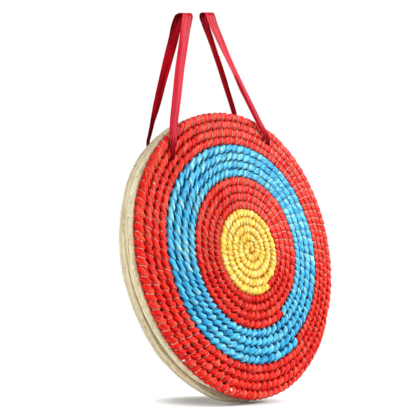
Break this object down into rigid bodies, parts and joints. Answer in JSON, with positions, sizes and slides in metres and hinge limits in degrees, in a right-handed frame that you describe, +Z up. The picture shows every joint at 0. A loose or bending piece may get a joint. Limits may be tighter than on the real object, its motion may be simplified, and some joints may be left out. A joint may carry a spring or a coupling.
{
  "type": "archery target boss",
  "caption": "Round coiled-straw archery target boss of layered mats, its face rope wrapped in coloured rings, hung by ribbon loops threaded through near its top.",
  "frame": {"origin": "on the axis of the bar that the two loops hang over, midway between them", "axes": "+Z up, -Y the way the coloured face looks, +Y out of the plain back, +X to the right as seen from the front"},
  "size_m": [0.5096, 0.0877, 0.6848],
  "materials": {
    "yellow_wrap": "crinkled ribbon-like wrap, slightly glossy",
    "red_wrap": "crinkled ribbon-like wrap, slightly glossy",
    "blue_wrap": "crinkled ribbon-like wrap, slightly glossy",
    "straw": "dry straw, matt",
    "tie_cord": "twisted cord, matt",
    "satin_ribbon": "satin"
  },
  "bodies": {
    "boss": {"yellow_centre_coil": "yellow_wrap", "inner_red_coil": "red_wrap", "blue_coil": "blue_wrap", "outer_red_coil": "red_wrap", "middle_straw_mat": "straw", "rear_straw_coil": "straw", "mat_tie_1": "tie_cord", "mat_tie_2": "tie_cord", "mat_tie_3": "tie_cord", "mat_tie_4": "tie_cord", "mat_tie_5": "tie_cord", "mat_tie_6": "tie_cord"},
    "left_loop": {"ribbon_loop_left": "satin_ribbon"},
    "right_loop": {"ribbon_loop_right": "satin_ribbon"}
  },
  "joints": [
    {"name": "left_loop_swing", "type": "hinge", "parent": "boss", "child": "left_loop", "pos_m": [-0.12871, 0.0245, -0.23357], "axis": [0, -1, 0], "range_deg": [0, 90]},
    {"name": "right_loop_swing", "type": "hinge", "parent": "boss", "child": "right_loop", "pos_m": [0.13137, 0.0245, -0.24276], "axis": [0, 1, 0], "range_deg": [0, 90]}
  ]
}
